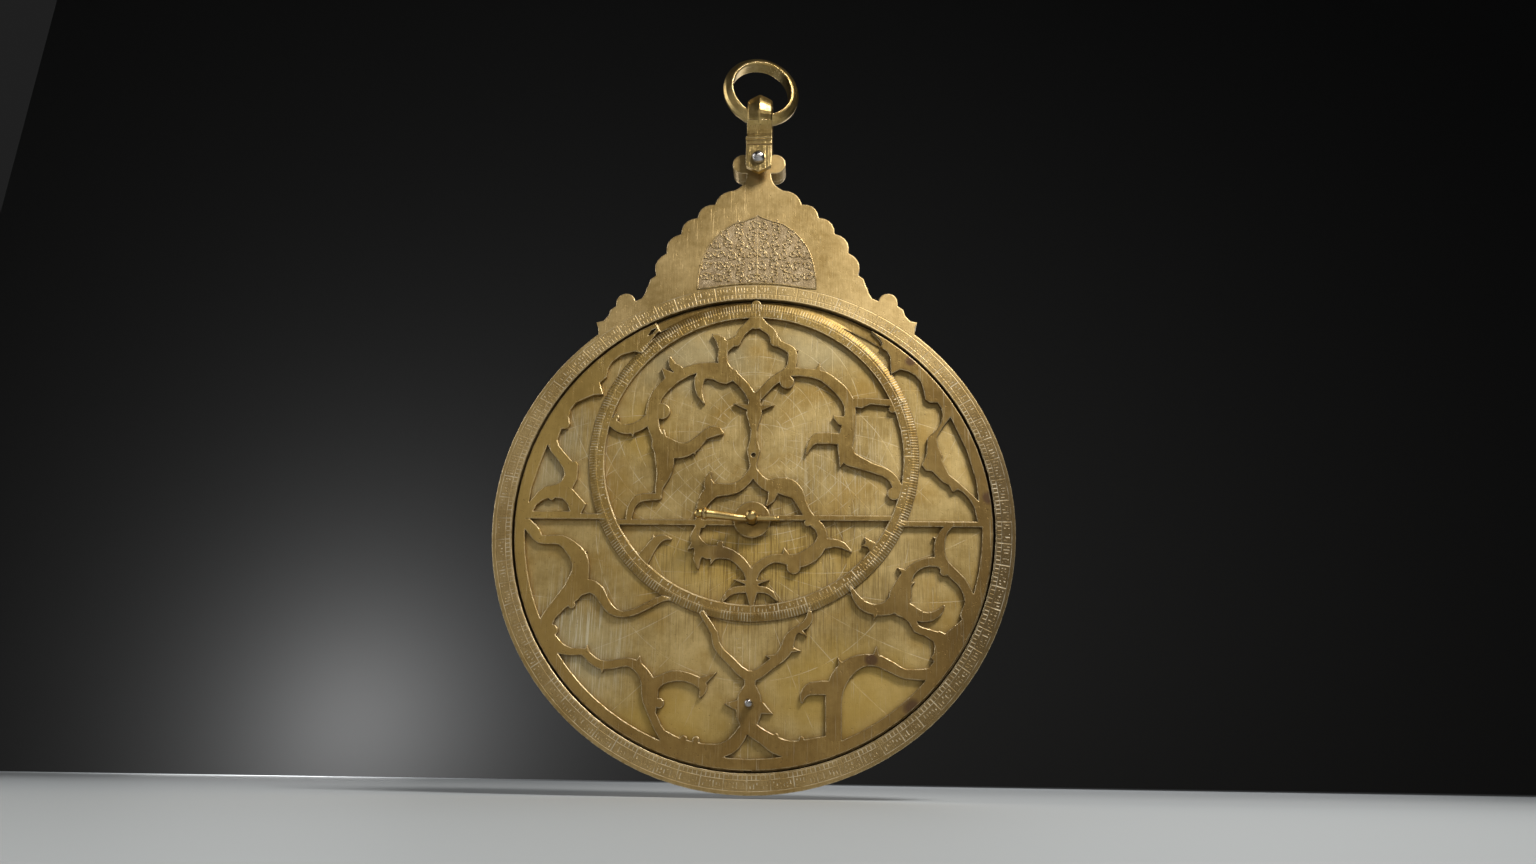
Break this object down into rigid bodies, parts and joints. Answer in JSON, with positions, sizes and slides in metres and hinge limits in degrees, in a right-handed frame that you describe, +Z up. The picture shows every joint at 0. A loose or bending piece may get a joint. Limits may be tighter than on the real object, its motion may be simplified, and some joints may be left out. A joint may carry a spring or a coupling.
{
  "type": "planispheric astrolabe",
  "caption": "Brass planispheric astrolabe: pierced turning rete with wedge and pin over stacked plates in a limbed mater, scalloped throne, back alidade, hung from a shackle and ring.",
  "frame": {"origin": "The point inside the top of the suspension ring that rests on a hook or thumb, in the middle of its thickness.", "axes": "+Z up along the hanging line, +X to the right across the face, -Y the way the engraved face looks."},
  "size_m": [0.2, 0.039, 0.3115],
  "materials": {
    "mater_brass": "satin, engraved, lightly patinated",
    "rete_brass": "satin with rubbed edges",
    "plate_brass": "finely brushed and engraved",
    "ring_brass": "polished",
    "wedge_brass": "polished, worn",
    "pin_steel": "polished"
  },
  "bodies": {
    "ring": {"suspension_ring": "ring_brass"},
    "shackle": {"shackle": "ring_brass", "shackle_pin": "pin_steel"},
    "mater": {"limb_and_throne": "mater_brass", "mater_back_plate": "mater_brass", "rim_rivet_1": "mater_brass", "rim_rivet_2": "mater_brass", "rim_rivet_3": "mater_brass", "rim_rivet_4": "mater_brass", "rim_rivet_5": "mater_brass", "rim_rivet_6": "mater_brass", "throne_rivet_1": "mater_brass", "throne_rivet_2": "mater_brass", "throne_rivet_3": "mater_brass", "locating_peg": "mater_brass", "latitude_plate_1": "plate_brass", "latitude_plate_2": "plate_brass", "latitude_plate_3": "plate_brass", "latitude_plate_4": "plate_brass"},
    "rete": {"rete": "rete_brass", "turning_peg": "pin_steel"},
    "alidade": {"alidade": "rete_brass", "sighting_vane_left": "rete_brass", "sighting_vane_right": "rete_brass", "vane_rivet_left_1": "pin_steel", "vane_rivet_left_2": "pin_steel", "vane_rivet_right_1": "pin_steel", "vane_rivet_right_2": "pin_steel"},
    "pin": {"centre_pin": "wedge_brass", "centre_washer": "rete_brass"},
    "wedge": {"wedge": "wedge_brass"}
  },
  "joints": [
    {"name": "shackle_swing", "type": "hinge", "parent": "ring", "child": "shackle", "pos_m": [0, 0, -0.0268], "axis": [1, 0, 0], "range_deg": [-85, 85]},
    {"name": "mater_swing", "type": "hinge", "parent": "shackle", "child": "mater", "pos_m": [0, 0, -0.0522], "axis": [0, 1, 0], "range_deg": [-30, 30]},
    {"name": "rete_turn", "type": "hinge", "parent": "mater", "child": "rete", "pos_m": [0, 0, -0.2074], "axis": [0, 1, 0], "continuous": true},
    {"name": "alidade_turn", "type": "hinge", "parent": "mater", "child": "alidade", "pos_m": [0, 0, -0.2074], "axis": [0, 1, 0], "continuous": true},
    {"name": "pin_turn", "type": "hinge", "parent": "mater", "child": "pin", "pos_m": [0, 0, -0.2074], "axis": [0, 1, 0], "continuous": true},
    {"name": "wedge_slide", "type": "slide", "parent": "pin", "child": "wedge", "axis": [-1, 0, 0], "range_m": [0, 0.035]}
  ]
}
